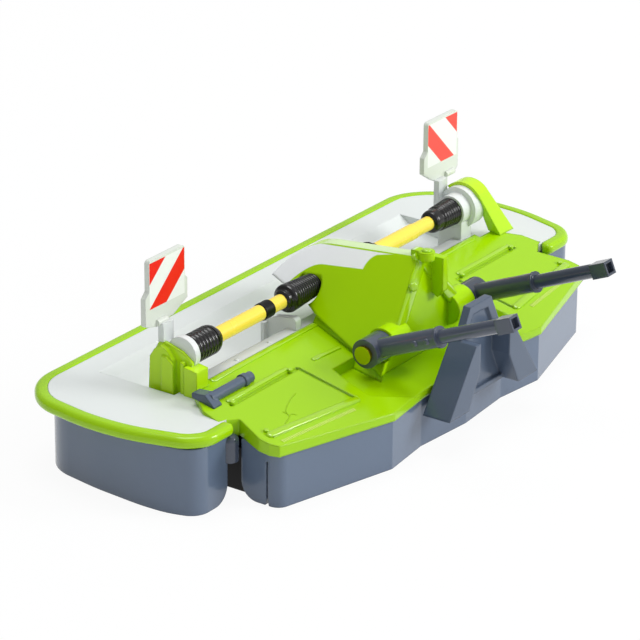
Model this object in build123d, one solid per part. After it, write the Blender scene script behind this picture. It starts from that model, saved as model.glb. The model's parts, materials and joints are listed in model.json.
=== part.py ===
from build123d import *
import math
import os

# Toy disc mower. Millimetres: X across the machine, Y forward, Z up, floor at Z = 0.
# The sizes below measure Y from the rear corner of the rear skirt. At the end every piece is moved
# back by origin_y, so that the origin is at the middle of the whole toy's footprint.

# Main sizes
half_width = 56.7
front_y = 42.4

# Bumper rail. The bends of its outer edge are measured in from the side, and back from the front
# or forward from the rear end.
rail_width = 2.1
rail_height = 2.0
rail_bottom = 11.05
rail_round = 0.9
rail_facets = 3
rail_end_inset = 11.3
rail_end_y = 7.0
rail_front_bends = [(7.2, 0.0), (1.6, 5.0), (0.0, 15.4)]
rail_rear_bends = [(0.4, 12.0), (3.1, 2.6), (6.3, 0.0)]
rail_radii = [9.0, 9.0, 35.0, 30.0, 6.0, 5.0]

# Skirts
skirt_wall = 1.0
skirt_front_bends = [(9.2, 2.5), (4.6, 6.0), (3.1, 15.4)]
skirt_rear_bends = [(2.5, 10.0), (2.7, 5.0), (4.3, 0.0)]
skirt_radii = [6.0, 8.0, 40.0, 30.0, 15.0, 3.2]
skirt_end_y = 8.0
skirt_end_round = 3.0
corner_inset = 13.8
notch_gap = 2.3
rear_side_y = 7.1
rear_point = (21.0, -5.8)
inner_point = (11.5, -4.7)
middle_y = -5.6
corner_round = 2.0
slit_y = 2.25
slit_width = 0.35
slit_low = 0.9
slit_high = 7.4
middle_drop_x = 7.0
middle_drop_z = 6.1

# Deck
deck_front_y = 18.2
deck_corner_y = 17.1
deck_level = 10.9
deck_slope = 0.2
lip_level = 9.0
lip_slope = 0.11
deck_wall = 1.0
lip_wall = 1.3
deck_overhang = 0.4
wing_out = 2.4
wing_y = 9.6
sink_low = [(18.0, 7.6), (19.2, -0.6), (13.3, -6.6)]
sink_rim = [(18.1, 7.7), (21.2, -0.9), (14.2, -6.7)]
sink_level = 10.12
sink_slope = 0.076
solid_half = 21.6
groove_width = 0.6
groove_depth = 0.35
rim_width = 0.8
rim_height = 0.3
panel_inner_x = 22.4
panel_front_y = 11.4
panel_inset = 2.9
panel_rear = (-0.2, 2.0)
panel_rear_inset = 0.9

# Front tray
tray_thickness = 1.4
tray_top = 12.9
trough_floor = 10.2
trough_side = 0.5
trough_end_gap = 4.4
ledge_front = 20.8
ledge_top = 14.2
tub_wall = 0.9
tub_front_gap = 1.0
bracket_x = (11.4, 12.8)
bracket = [(18.7, 10.2), (18.7, 16.4), (23.1, 15.6), (25.0, 14.5), (25.0, 10.2)]
bracket_round = 0.7
bracket_rib = (0.9, 24.3, 25.0)
saddle_top = 17.4
saddle_depth = 4.6

# Mower bar and discs
disc_pitch = 10.0
disc_radius = 3.9
blade_reach = 4.7
blade_width = 1.1
blade_thickness = 0.4
disc_thickness = 0.8
disc_gap = 0.4
spindle_radius = 0.9
spindle_rise = 0.4
spindle_clearance = 0.1
bar_front_gap = 15.4
bar_depth = 6.0
bar_bottom = 0.6
bar_thickness = 1.4
chassis_bottom = 6.6
chassis_thickness = 1.0
chassis_gap = 0.3
end_plate_wall = 1.0
end_plate_bottom = 0.3
pillar_half = 1.2
pillar_places = [0.3, 0.83]

# Drive shafts, one to each end
shaft_y = 21.25
shaft_z = 18.9
thick_radius = 1.3
thin_radius = 1.05
thin_left_radius = 1.25
collar_radius = 1.5
outer_bellow_radius = 2.4
outer_bellow_small = 1.95
inner_bellow_end_x = 4.6
inner_bellow_radius = 2.3
inner_bellow_small = 1.8
bellow_rib = 0.3
bellow_count = 5
collar_shares = (0.157, 0.291)
right_step_share = 0.654
# Of each side: where the inner bellows end, how far the guard ring starts inside the end block's inner
# face, how far it reaches past that face, and the length of the outer bellows.
sides = {
    "left": {"sign": -1, "inner_bellow_x": 13.9, "ring_inside": 0.0, "ring_past": 1.2, "bellow_length": 6.9},
    "right": {"sign": 1, "inner_bellow_x": 13.6, "ring_inside": 3.0, "ring_past": 2.2, "bellow_length": 5.5},
}
ring_radius = 2.75
ring_step_gap = 0.8
ring_step_radius = 3.65

# End blocks
block_inset = 1.9
block_width = 3.0
plate_wall = 0.6
plate_edge = [(26.2, 10.2), (26.2, 18.4), (25.2, 20.2), (24.0, 20.4), (20.75, 19.5), (18.8, 18.2), (18.8, 10.2)]
tower_wall = 0.9
tower_edge = [(26.7, 10.2), (26.3, 17.9), (25.4, 19.3), (24.4, 20.1), (23.1, 19.6), (21.9, 18.1), (21.9, 10.2)]
tower_panel = [(23.9, 10.2), (23.9, 18.6), (22.9, 18.6), (21.6, 17.6), (21.6, 10.2)]
tower_panel_wall = 0.4
step_edge = [(17.1, 12.0), (17.1, 17.35), (19.6, 17.7), (19.6, 12.0)]
step_width = 2.9
rib_edge = [(19.9, 10.2), (19.9, 18.0), (20.6, 18.2), (20.6, 10.2)]
rib_wall = 0.7
# The right arch, as Y and Z from the shaft's middle: its front end, its top and where it runs out straight.
arch_start = (2.95, 2.9)
arch_top = (-0.45, 4.17)
arch_shoulder = (-3.35, 2.6)
arch_wall = 0.8
arch_end_wall = (0.7, 0.5)
arch_foot = 13.9
arch_out = 0.5
arch_flare = 4.0
arch_lean = 2.9

# Hood
ridge_half = 1.2
ridge_rear = (3.5, 26.9)
ridge_front = (19.4, 25.2)
nose = (28.9, 19.0)
nose_bulge = (5.6, -1.9)
hood_side_slope = 0.805
hood_lower = [(20.24, 17.0), (17.31, 15.7), (7.4, 12.96), (1.4, 11.25)]
hood_core_inset = 1.0
hood_rear_y = 1.4
hood_flange = 1.1
hood_recess = 1.3
hood_recess_top = 21.0
hood_bore_clearance = 0.15
eye_lug_x = -0.2
eye_lug_y = 2.4
eye_lug_z = (26.4, 27.8)
eye_lug_radius = 1.35
eye_lug_bore = 0.75
eye_lug_web_half = 0.8
side_lug_x = (1.9, 3.3)
side_lug = [(0.6, 26.2), (4.6, 26.2), (4.6, 21.0), (1.6, 19.4), (0.6, 20.6)]

# Struts
pin_y = 3.1
pin_z = 15.4
pin_radius = 0.8
pin_head_radius = 1.5
pin_head_thickness = 0.6
pin_clearance = 0.08
pin_seat_depth = 2.2
strut_angle = 23.2
eye_inner_x = 11.4
eye_width = 4.6
eye_radius = 2.4
eye_clearance = 0.3
boss_gap = 0.1
boss_radius = 2.7
boss_root = 2.0
barrel_radius = 1.6
barrel_end = 13.8
step_ring = 0.15
rod_radius = 1.15
end_block_start = 25.4
end_block_end = 28.4
end_block_side = 2.4
end_socket_side = 1.6
end_socket_depth = 0.9

# Hitch frame
apex_half = 3.0
apex_top = 21.6
apex_y = (-7.9, -6.6)
leg_rear_y = -10.8
leg_front_y = -5.8
leg_top = (5.5, 16.6)
leg_inner_x = 4.2
leg_inner_z = 11.9
leg_foot_x = (7.1, 12.7)
leg_bottom = 6.1
shelf_top = 6.9
web_recess = 0.5
web_frame = 1.5

# Warning boards
board_width = 8.9
board_wall = 0.9
board_face_y = 25.3
board_bottom = 23.4
board_low_share = 0.53
board_top = 34.1
board_round = 0.6
tab_drop = 0.6
post_x = (2.1, 4.7)
post_wall = 1.0
post_bottom = 17.0
post_top_gap = 0.1
knuckle_radius = 0.55
# Of each side: the board's left edge from the deck's corner on that side, how much wider its lower part is
# to the left and to the right, the corners cut off at its lower left and lower right (length, and height as a
# share of the lower part's height), and the reach of its tab and its knuckle from the left edge.
boards = {
    "left": {"edge": 1.0, "wider": (1.0, 0.6), "cuts": ((0.3, 0.0529), (3.6, 0.3174)),
             "tab": (1.7, 5.0), "knuckle": (1.7, 4.1)},
    "right": {"edge": -9.0, "wider": (1.0, 0.4), "cuts": ((2.7, 0.3174), (0.5, 0.08817)),
              "tab": (2.9, 7.8), "knuckle": (5.4, 7.8)},
}

# Lever
lever_y = 14.0
lever_rise = 0.5
lever_out = 1.9
lever_radius = 0.9
lever_length = 10.6
lever_tip = 1.3
lever_collar = 1.0
lever_collar_radius = 1.1
lever_foot = [(12.3, 12.6), (12.3, 13.6), (14.0, 15.2), (16.5, 15.0), (16.5, 13.2)]
lever_foot_width = 2.0

# Worked out from the sizes above
strut_turn = math.radians(strut_angle)
strut_x = eye_inner_x + eye_width / 2
tip_y = pin_y - end_block_end * math.cos(strut_turn) - end_block_side / 2 * math.sin(strut_turn)
origin_y = (front_y + tip_y) / 2
high = 2 * board_top
wide = 2 * half_width
rail_end_x = half_width - rail_end_inset
rear_corner_x = half_width - corner_inset
notch_x = rear_corner_x + notch_gap
end_plate_x = rear_corner_x - skirt_wall - chassis_gap
block_outer_x = rear_corner_x - block_inset
block_inner_x = block_outer_x - block_width
trough_x = block_outer_x + trough_side
trough_end = front_y - rail_width - trough_end_gap
tray_bottom = tray_top - tray_thickness
bar_y = front_y - bar_front_gap
bar_end_x = end_plate_x - end_plate_wall
disc_count = int((2 * (bar_end_x - blade_reach)) // disc_pitch) + 1
lever_z = deck_level + deck_slope * lever_y + lever_rise
tray_front = front_y - skirt_front_bends[0][1] - skirt_wall - tub_front_gap
board_low_top = board_bottom + board_low_share * (board_top - board_bottom)
for word, row in sides.items():
    row["ring_x"] = block_inner_x - row["ring_inside"]
    row["ring_end_x"] = block_inner_x + row["ring_past"]
    row["bellow_x"] = row["ring_x"] - row["bellow_length"]
    row["board_x"] = row["sign"] * rear_corner_x + boards[word]["edge"]
collar_start, collar_end = (sides["left"]["inner_bellow_x"] + share * (sides["left"]["bellow_x"]
                            - sides["left"]["inner_bellow_x"]) for share in collar_shares)
right_step_x = sides["right"]["inner_bellow_x"] + right_step_share * (sides["right"]["bellow_x"]
                                                                      - sides["right"]["inner_bellow_x"])


def deck_z(y):
    return deck_level + deck_slope * y


def lip_z(y):
    return lip_level + lip_slope * y


def sink_z(y):
    return sink_level + sink_slope * y


def ridge_z(y):
    fall = (ridge_rear[1] - ridge_front[1]) / (ridge_front[0] - ridge_rear[0])
    return ridge_rear[1] - fall * (y - ridge_rear[0])


def hood_half_x(y, z):
    return ridge_half + hood_side_slope * (ridge_z(y) - z)


def whole(half):
    """A symmetric outline from its right half, given from the middle front to the middle rear."""
    return half + [(-x, y) for x, y in reversed(half) if x > 0]


def outline(points):
    return make_face(Polyline(*[(x, y, 0) for x, y in points], close=True))


def prism_x(points, x0, x1):
    """Points (y, z) swept from x0 to x1."""
    face = make_face(Polyline(*[(x0, y, z) for y, z in points], close=True))
    return extrude(face, amount=x1 - x0, dir=(1, 0, 0))


def prism_y(points, y0, y1):
    """Points (x, z) swept from y0 to y1."""
    face = make_face(Polyline(*[(x, y0, z) for x, z in points], close=True))
    return extrude(face, amount=y1 - y0, dir=(0, 1, 0))


def block(x0, x1, y0, y1, z0, z1):
    return Pos((x0 + x1) / 2, (y0 + y1) / 2, (z0 + z1) / 2) * Box(x1 - x0, y1 - y0, z1 - z0)


def rod_x(x0, x1, y, z, radius):
    return Pos((x0 + x1) / 2, y, z) * Rot(0, 90, 0) * Cylinder(radius, x1 - x0)


def post_z(x, y, z0, z1, radius):
    return Pos(x, y, (z0 + z1) / 2) * Cylinder(radius, z1 - z0)


def other_side(shape):
    return mirror(shape, about=Plane.YZ)


def on_side(shape, side):
    return shape if side > 0 else other_side(shape)


def under(level):
    """The space below a sloping level(y), over the whole toy."""
    return prism_x([(-wide, -high), (wide, -high), (wide, level(wide)), (-wide, level(-wide))], -wide, wide)


def right_half(front_bends, rear_bends, end_inset, front, rear):
    """Right half of a rounded-off plan, from the middle front round to its rear end."""
    points = [(0.0, front - front_bends[0][1])]
    points += [(half_width - a, front - b) for a, b in front_bends]
    points += [(half_width - a, rear + b) for a, b in rear_bends]
    return points + [(half_width - end_inset, rear)]


rail_half = right_half(rail_front_bends, rail_rear_bends, rail_end_inset, front_y, rail_end_y)
skirt_half = right_half(skirt_front_bends, skirt_rear_bends, corner_inset - notch_gap, front_y, skirt_end_y)
rear_half = [
    (0.0, middle_y),
    inner_point,
    rear_point,
    (rear_corner_x, 0.0),
    (rear_corner_x, rear_side_y),
]


def closed_plan(half, radii, inset):
    """The area inside a rounded-off plan, drawn in by inset."""
    path = FilletPolyline(*[(x, y, 0) for x, y in half], radius=radii[:len(half) - 2])
    closing = Polyline((half[-1][0], half[-1][1], 0), (0, half[-1][1], 0), (0, half[0][1], 0))
    face = make_face(path.edges() + closing.edges())
    return offset(face + other_side(face), amount=-inset, kind=Kind.INTERSECTION)


def rail_area(inset):
    return closed_plan(rail_half, rail_radii, inset)


def make_rail():
    path = FilletPolyline(*[(x, y, rail_bottom + rail_height / 2) for x, y in rail_half], radius=rail_radii)
    start = Plane(origin=path @ 0, x_dir=(0, 1, 0), z_dir=(1, 0, 0))
    turns = [math.pi / 2 * i / rail_facets for i in range(rail_facets + 1)]
    corner = [(rail_round * math.cos(t) - rail_round, rail_height / 2 - rail_round + rail_round * math.sin(t))
              for t in turns]
    half_section = corner + [(-rail_width, rail_height / 2)]
    section = outline(half_section + [(x, -y) for x, y in reversed(half_section)])
    half = sweep(start * section, path=path)
    middle_y = rail_half[-1][1] + rail_width / 2
    radial = [(0.0, rail_height / 2)] + [(x + rail_width / 2, y) for x, y in reversed(corner)]
    nose_plan = radial + [(x, -y) for x, y in reversed(radial)]
    centre = (rail_half[-1][0], middle_y, rail_bottom + rail_height / 2)
    nose = revolve(Plane(origin=centre, x_dir=(1, 0, 0), z_dir=(0, -1, 0)) * outline(nose_plan),
                   axis=Axis(centre, (0, 0, 1)))
    half = half + nose
    return half + other_side(half)


def make_front_skirt():
    outer = extrude(closed_plan(skirt_half, skirt_radii, 0), amount=tray_bottom)
    inner = extrude(closed_plan(skirt_half, skirt_radii, skirt_wall), amount=tray_bottom)
    rear_gap = block(-notch_x, notch_x, -wide, front_y / 2, -1, high)
    beside_rail = Rectangle(2 * wide, 2 * wide) - rail_area(rail_width)
    body = outer - inner - rear_gap - Pos(0, 0, rail_bottom) * extrude(beside_rail, amount=high)
    corners = [e for e in body.edges().filter_by(Axis.Y) if abs(abs(e.center().X) - notch_x) < rail_round
               and e.center().Z < rail_round]
    return fillet(corners, skirt_end_round)


def rear_area(inset):
    return offset(outline(whole(rear_half)), amount=-inset, kind=Kind.INTERSECTION)


def make_rear_skirt():
    outer = extrude(rear_area(0), amount=high)
    corners = [e for e in outer.edges().filter_by(Axis.Z) if abs(abs(e.center().X) - rear_corner_x) < corner_round
               and e.center().Y < rear_side_y / 2]
    outer = fillet(corners, corner_round)
    inner = extrude(rear_area(skirt_wall), amount=high)
    inside_x = rear_corner_x - skirt_wall
    front_gap = block(-inside_x, inside_x, rear_side_y - 2 * skirt_wall, wide, -1, high + 1)
    body = (outer - inner - front_gap) & under(lip_z)
    body = body - block(-middle_drop_x, middle_drop_x, 2 * middle_y, middle_y / 2, middle_drop_z, high)
    ends = [e for e in body.edges().filter_by(Axis.X) if abs(e.center().Y - rear_side_y) < slit_width
            and e.center().Z < slit_width]
    body = fillet(ends, skirt_end_round)
    half_slit = slit_width / 2
    slit = prism_x([(slit_y - 3 * half_slit, -1), (slit_y + 3 * half_slit, -1), (slit_y + half_slit, slit_low),
                    (slit_y + half_slit, slit_high), (slit_y - half_slit, slit_high),
                    (slit_y - half_slit, slit_low)], inside_x - 1, wide)
    return body - slit - other_side(slit)


def deck_half():
    edge_x = rear_corner_x + deck_overhang
    return [
        (0.0, deck_front_y),
        (block_inner_x, deck_front_y),
        (block_inner_x, deck_corner_y),
        (block_outer_x + deck_overhang, deck_corner_y),
        (rear_corner_x + wing_out - 0.6, wing_y + 3.4),
        (rear_corner_x + wing_out, wing_y),
        (rear_corner_x + 0.5, wing_y - 0.7),
        (rear_corner_x - 0.9, rear_side_y + 1.0),
        (rear_corner_x + 1.1, 3.0),
        (rear_corner_x + 1.1, 1.0),
        (edge_x, -deck_overhang),
        (rear_point[0], rear_point[1] - deck_overhang),
        (inner_point[0], inner_point[1] - deck_overhang),
        (0.0, inner_point[1] - deck_overhang),
    ]


def deck_area(inset):
    return offset(outline(whole(deck_half())), amount=-inset, kind=Kind.INTERSECTION)


def bar_along(start, end, width, low, tall):
    """A bar on the deck's slope between two plan points, low below and tall above its surface."""
    length = math.dist(start, end)
    turn = math.degrees(math.atan2(end[1] - start[1], end[0] - start[0]))
    middle = ((start[0] + end[0]) / 2, (start[1] + end[1]) / 2)
    solid = extrude(Pos(*middle) * Rot(0, 0, turn) * Rectangle(length, width), amount=high)
    return (solid & under(lambda y: deck_z(y) + tall)) - under(lambda y: deck_z(y) - low)


def sink_tool():
    """The sunken middle of the deck as a solid, wider at its rim."""
    levels = []
    for points, z in ((sink_low, 0.0), (sink_low, deck_level - deck_wall), (sink_rim, deck_z(sink_rim[0][1])),
                      (sink_rim, high)):
        plan = [(0.0, points[0][1])] + points + [(0.0, points[-1][1])]
        levels.append(Pos(0, 0, z) * outline(whole(plan)))
    return loft(levels[:2], ruled=True) + loft(levels[1:3], ruled=True) + loft(levels[2:], ruled=True)


def make_deck():
    body = (extrude(deck_area(0), amount=high) & under(deck_z)) - under(lip_z)
    pocket = extrude(deck_area(lip_wall), amount=high) & under(lambda y: deck_z(y) - deck_wall)
    pocket = pocket - block(-solid_half, solid_half, -wide, wide, -1, high)
    body = body - pocket - (sink_tool() - under(sink_z))
    front_outer = (rear_corner_x - panel_inset, panel_front_y)
    front_inner = (panel_inner_x, panel_front_y)
    rear_inner = (panel_inner_x, panel_rear[0])
    rear_outer = (rear_corner_x - panel_rear_inset, panel_rear[1])
    for start, end in ((front_outer, front_inner), (front_inner, rear_inner)):
        groove = bar_along(start, end, groove_width, groove_depth, 1)
        body = body - groove - other_side(groove)
    rim = bar_along(rear_inner, rear_outer, rim_width, deck_wall / 2, rim_height)
    return body + rim + other_side(rim)


def make_tray():
    plate = Pos(0, 0, tray_top - tray_thickness) * extrude(rail_area(rail_width), amount=tray_thickness)
    tub = block(-trough_x - tub_wall, trough_x + tub_wall, deck_front_y, tray_front, trough_floor - tub_wall,
                tray_top)
    ledge = block(-block_inner_x, block_inner_x, deck_front_y, ledge_front, tray_top, ledge_top)
    body = plate + tub + ledge
    body = body - extrude(deck_area(0), amount=high)
    body = body - block(-rail_end_x, rail_end_x, -wide, rear_side_y + 2.0, -1, high)
    body = body - block(-block_outer_x, block_outer_x, -wide, deck_corner_y, -1, high)
    rise = trough_end - bar_y
    trough = prism_x([(ledge_front, high), (ledge_front, ledge_top), (ledge_front + 0.6, trough_floor),
                      (bar_y, trough_floor), (bar_y + 0.45 * rise, trough_floor + 0.5),
                      (bar_y + 0.8 * rise, trough_floor + 1.6), (trough_end, tray_top), (trough_end, high)],
                     -trough_x, trough_x)
    body = body - trough
    stay = prism_x(bracket, *bracket_x)
    stay = fillet([e for e in stay.edges().filter_by(Axis.X) if e.center().Z > bracket[1][1] - 0.1], bracket_round)
    rib_out, rib_rear, rib_front = bracket_rib
    stay = stay + block(bracket_x[1], bracket_x[1] + rib_out, rib_rear, rib_front, trough_floor, bracket[3][1])
    saddle = block(sides["right"]["ring_x"], block_inner_x, shaft_y - saddle_depth / 2, shaft_y + saddle_depth / 2,
                   trough_floor, saddle_top)
    return body + stay + other_side(stay) + (saddle - ring_solid(sides["right"]))


def chassis_area():
    rear = rear_area(skirt_wall + chassis_gap) & Rectangle(2 * end_plate_x, wide)
    rear_edge = rear_side_y - 2 * skirt_wall
    middle = Pos(0, (tray_front + rear_edge) / 2) * Rectangle(2 * end_plate_x, tray_front - rear_edge)
    return rear + middle


def pillar_at(x, y, z0, z1):
    return block(x - pillar_half, x + pillar_half, y - pillar_half, y + pillar_half, z0, z1)


def make_chassis():
    top = chassis_bottom + chassis_thickness
    body = Pos(0, 0, chassis_bottom) * extrude(chassis_area(), amount=chassis_thickness)
    for share in pillar_places:
        x = share * bar_end_x
        pillar = pillar_at(x, deck_corner_y - 4 * pillar_half, top, high)
        pillar = pillar & under(lambda v: deck_z(v) - deck_wall)
        if x < solid_half:
            pillar = pillar & under(lip_z)
        body = body + pillar + other_side(pillar)
        pillar = pillar_at(x, bar_y - 2 * pillar_half, top, trough_floor - tub_wall)
        body = body + pillar + other_side(pillar)
    for side in (-1, 1):
        plate = block(bar_end_x, end_plate_x, rear_side_y + chassis_gap, tray_front, end_plate_bottom, chassis_bottom)
        body = body + on_side(plate, side)
    return body


def disc_places():
    return [(i - (disc_count - 1) / 2) * disc_pitch for i in range(disc_count)]


def make_bar():
    top = bar_bottom + bar_thickness
    body = block(-bar_end_x, bar_end_x, bar_y - bar_depth / 2, bar_y + bar_depth / 2, bar_bottom, top)
    for x in disc_places():
        body = body + post_z(x, bar_y, top, top + disc_gap + disc_thickness + spindle_rise, spindle_radius)
    return body


def make_disc(x):
    low = bar_bottom + bar_thickness + disc_gap
    plate = post_z(x, bar_y, low, low + disc_thickness, disc_radius)
    blades = block(x - blade_reach, x + blade_reach, bar_y - blade_width / 2, bar_y + blade_width / 2,
                   low, low + blade_thickness) & post_z(x, bar_y, low, low + blade_thickness, blade_reach)
    hole = post_z(x, bar_y, low - 1, low + disc_thickness + 1, spindle_radius + spindle_clearance)
    return plate + blades - hole


def ring_solid(row):
    """The guard ring round a shaft's outer end, with a wider step under the right arch."""
    body = rod_x(row["ring_x"], row["ring_end_x"], shaft_y, shaft_z, ring_radius)
    if row["ring_inside"] > ring_step_gap:
        body = body + rod_x(block_inner_x - ring_step_gap, row["ring_end_x"], shaft_y, shaft_z, ring_step_radius)
    return body


def make_left_block(tray):
    """Plate beside the guard ring, with a tower, a rib and a step on it; the step reaches under the ring."""
    plate_x = sides["left"]["ring_end_x"]
    face_x = plate_x + plate_wall
    body = prism_x(plate_edge, plate_x, face_x) + prism_x(tower_edge, face_x, face_x + tower_wall)
    body = body + prism_x(tower_panel, face_x + tower_wall, face_x + tower_wall + tower_panel_wall)
    body = body + prism_x(rib_edge, face_x, face_x + rib_wall)
    step = prism_x(step_edge, block_inner_x, block_inner_x + step_width)
    body = body + (step - ring_solid(sides["left"]))
    return other_side(body) - tray


def make_right_arch():
    """A bent band over the right guard ring, with its tail flared outward down to the deck."""
    x = block_inner_x + arch_out
    end = x + block_width
    shoulder_z = shaft_z + arch_shoulder[1]
    low_z = arch_foot - 2.0
    foot_y = deck_corner_y - 2.7

    def at(place, back=0.0, down=0.0):
        return x, shaft_y + place[0] - back, shaft_z + place[1] - down

    inner_start = at(arch_start, *arch_end_wall)
    inner_shoulder = at(arch_shoulder, -arch_wall * 0.8, arch_wall * 0.8)
    curve = [
        Polyline(inner_start, at(arch_start)),
        ThreePointArc(at(arch_start), at(arch_top), at(arch_shoulder)),
        Polyline(at(arch_shoulder), (x, foot_y, low_z), (x, deck_corner_y, low_z), inner_shoulder),
        ThreePointArc(inner_shoulder, at(arch_top, 0.0, arch_wall), inner_start),
    ]
    face = make_face(sum([list(part.edges()) for part in curve], []))
    band = extrude(face, amount=block_width + arch_flare, dir=(1, 0, 0))
    outer_cut = prism_y([(end, high), (end, shoulder_z), (end + arch_flare, arch_foot),
                         (end + arch_flare, low_z), (wide, low_z), (wide, high)], -wide, wide)
    inner_cut = prism_y([(x, shoulder_z), (x + arch_lean, arch_foot), (x + arch_lean, low_z),
                         (x - 1, low_z), (x - 1, shoulder_z)], -wide, shaft_y)
    return (band - outer_cut - inner_cut) - under(deck_z) - ring_solid(sides["right"])


def bellows(x0, x1, radius0, radius1):
    """Stack of ribs along the shaft from x0 to x1, with the radius changing evenly."""
    step = (x1 - x0) / bellow_count
    points = [(x0, 0.0)]
    for i in range(bellow_count):
        tall = radius0 + (radius1 - radius0) * (i + 0.5) / bellow_count
        points += [(x0 + step * i, tall - bellow_rib), (x0 + step * (i + 0.5), tall)]
    points += [(x1, radius1 - bellow_rib), (x1, 0.0)]
    face = make_face(Polyline(*[(x, shaft_y, shaft_z + r) for x, r in points], close=True))
    return revolve(face, axis=Axis((0, shaft_y, shaft_z), (1, 0, 0)))


def make_bellow(row, outer):
    if outer:
        body = bellows(row["bellow_x"], row["ring_x"], outer_bellow_small, outer_bellow_radius)
    else:
        body = bellows(inner_bellow_end_x, row["inner_bellow_x"], inner_bellow_small, inner_bellow_radius)
    return on_side(body, row["sign"])


def hood_roof(inset):
    """The hood's sloping sides over its whole length, drawn in by inset."""
    sections = []
    for y in (hood_rear_y - 2.0, nose[0] + 1.0):
        top = ridge_half - inset
        corner = hood_half_x(y, 0.0) - inset
        sections.append(make_face(Polyline((-top, y, ridge_z(y)), (top, y, ridge_z(y)), (corner, y, 0.0),
                                           (-corner, y, 0.0), close=True)))
    return loft(sections, ruled=True)


def hood_side_face(lower):
    """The hood seen from the side, above the given lower edge running from front to rear."""
    over_nose = (0, ridge_front[0] + nose_bulge[0], ridge_front[1] + nose_bulge[1])
    nose_arc = ThreePointArc((0, *ridge_front), over_nose, (0, *nose))
    edge = Polyline((0, *nose), *[(0, y, z) for y, z in lower], (0, *ridge_rear), (0, *ridge_front))
    return Pos(-wide / 2, 0, 0) * extrude(make_face(nose_arc.edges() + edge.edges()), amount=wide, dir=(1, 0, 0))


def make_hood():
    front = min(deck_front_y, hood_lower[0][0] - hood_core_inset)
    core_lower = [hood_lower[0], (front, hood_lower[0][1]), (front, sink_z(front)),
                  (hood_rear_y, sink_z(hood_rear_y))]
    body = hood_roof(0) & hood_side_face(hood_lower)
    body = body + (hood_roof(hood_core_inset) & hood_side_face(core_lower))
    rear_band = block(-wide, wide, hood_rear_y - 3, hood_rear_y + hood_recess, 0, hood_recess_top)
    rear_band = rear_band & prism_x([(hood_rear_y - 3, 0), (hood_rear_y + hood_recess, 0),
                                     (hood_rear_y + hood_recess + 1.7, hood_recess_top),
                                     (hood_rear_y - 3, hood_recess_top)], -wide, wide)
    body = body - (hood_roof(hood_flange) & rear_band)
    body = body - (under(deck_z) - sink_tool())
    low, top = eye_lug_z
    ring_plan = post_z(eye_lug_x, eye_lug_y, low, top, eye_lug_radius)
    web = block(eye_lug_x - eye_lug_web_half, eye_lug_x + eye_lug_web_half,
                eye_lug_y + (eye_lug_bore + eye_lug_radius) / 2, ridge_rear[0] + eye_lug_radius,
                low - eye_lug_radius, top)
    body = body + ring_plan + web + prism_x(side_lug, *side_lug_x)
    body = body - post_z(eye_lug_x, eye_lug_y, low, top + 1, eye_lug_bore)
    boss_end = eye_inner_x - boss_gap
    for row in sides.values():
        side = row["sign"]
        root = hood_half_x(pin_y, pin_z + eye_radius) - boss_root
        boss = rod_x(root, boss_end, pin_y, pin_z, boss_radius)
        clear = rod_x(boss_end, eye_inner_x + eye_width + boss_gap, pin_y, pin_z, eye_radius + eye_clearance)
        seat = rod_x(boss_end - pin_seat_depth, boss_end, pin_y, pin_z, pin_radius)
        bore = rod_x(inner_bellow_end_x, hood_half_x(shaft_y, 0.0), shaft_y, shaft_z,
                     inner_bellow_radius + hood_bore_clearance)
        body = body + on_side(boss, side) - on_side(clear, side) - on_side(seat, side) - on_side(bore, side)
    return body


def make_pin(side):
    seat = eye_inner_x - boss_gap - pin_seat_depth
    outer = eye_inner_x + eye_width + boss_gap
    body = rod_x(seat, outer, pin_y, pin_z, pin_radius)
    body = body + rod_x(outer, outer + pin_head_thickness, pin_y, pin_z, pin_head_radius)
    return on_side(body, side)


def make_strut(side):
    """Built pointing straight back from the pin, then raised to its resting angle."""
    def along(start, end, radius):
        return Pos(strut_x, -(start + end) / 2, 0) * Rot(90, 0, 0) * Cylinder(radius, end - start)

    half = end_block_side / 2
    socket = end_socket_side / 2
    body = rod_x(eye_inner_x, eye_inner_x + eye_width, 0, 0, eye_radius)
    body = body + along(eye_radius / 2, barrel_end, barrel_radius)
    body = body + along(barrel_end - 3 * step_ring, barrel_end, barrel_radius + step_ring)
    body = body + along(barrel_end, end_block_start, rod_radius)
    body = body + block(strut_x - half, strut_x + half, -end_block_end, -end_block_start, -half, half)
    body = body - block(strut_x - socket, strut_x + socket, -end_block_end, -end_block_end + end_socket_depth,
                        -socket, socket)
    body = body - rod_x(eye_inner_x, eye_inner_x + eye_width, 0, 0, pin_radius + pin_clearance)
    body = Pos(0, pin_y, pin_z) * Rot(-strut_angle, 0, 0) * body
    return on_side(body, side)


def make_hitch():
    top_x, top_z = leg_top
    web = [(-apex_half, apex_top), (apex_half, apex_top), (top_x, top_z), (leg_foot_x[1], leg_bottom),
           (-leg_foot_x[1], leg_bottom), (-top_x, top_z)]
    plate = prism_y(web, *apex_y)
    edge = make_face(Polyline(*[(x, apex_y[0], z) for x, z in web], close=True))
    small = offset(edge, amount=-web_frame, kind=Kind.INTERSECTION)
    body = plate - extrude(small, amount=web_recess, dir=(0, 1, 0))
    body = body - block(-leg_foot_x[0], leg_foot_x[0], apex_y[0], apex_y[0] + web_recess, shelf_top, leg_inner_z)
    inner_x, outer_x = leg_foot_x
    leg = prism_y([(top_x, top_z), (outer_x, leg_bottom), (inner_x, leg_bottom), (leg_inner_x, leg_inner_z),
                   (leg_inner_x, top_z)], leg_rear_y, leg_front_y)
    body = body + leg + other_side(leg)
    body = body + block(-inner_x, inner_x, apex_y[0] + web_recess, middle_y + skirt_wall, leg_bottom, shelf_top)
    body = body - (extrude(rear_area(0), amount=high) & under(lip_z)) - extrude(deck_area(0), amount=high)
    return body + block(-middle_drop_x + 0.2, middle_drop_x - 0.2, apex_y[0] + web_recess, middle_y + skirt_wall,
                        leg_bottom, shelf_top)


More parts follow.
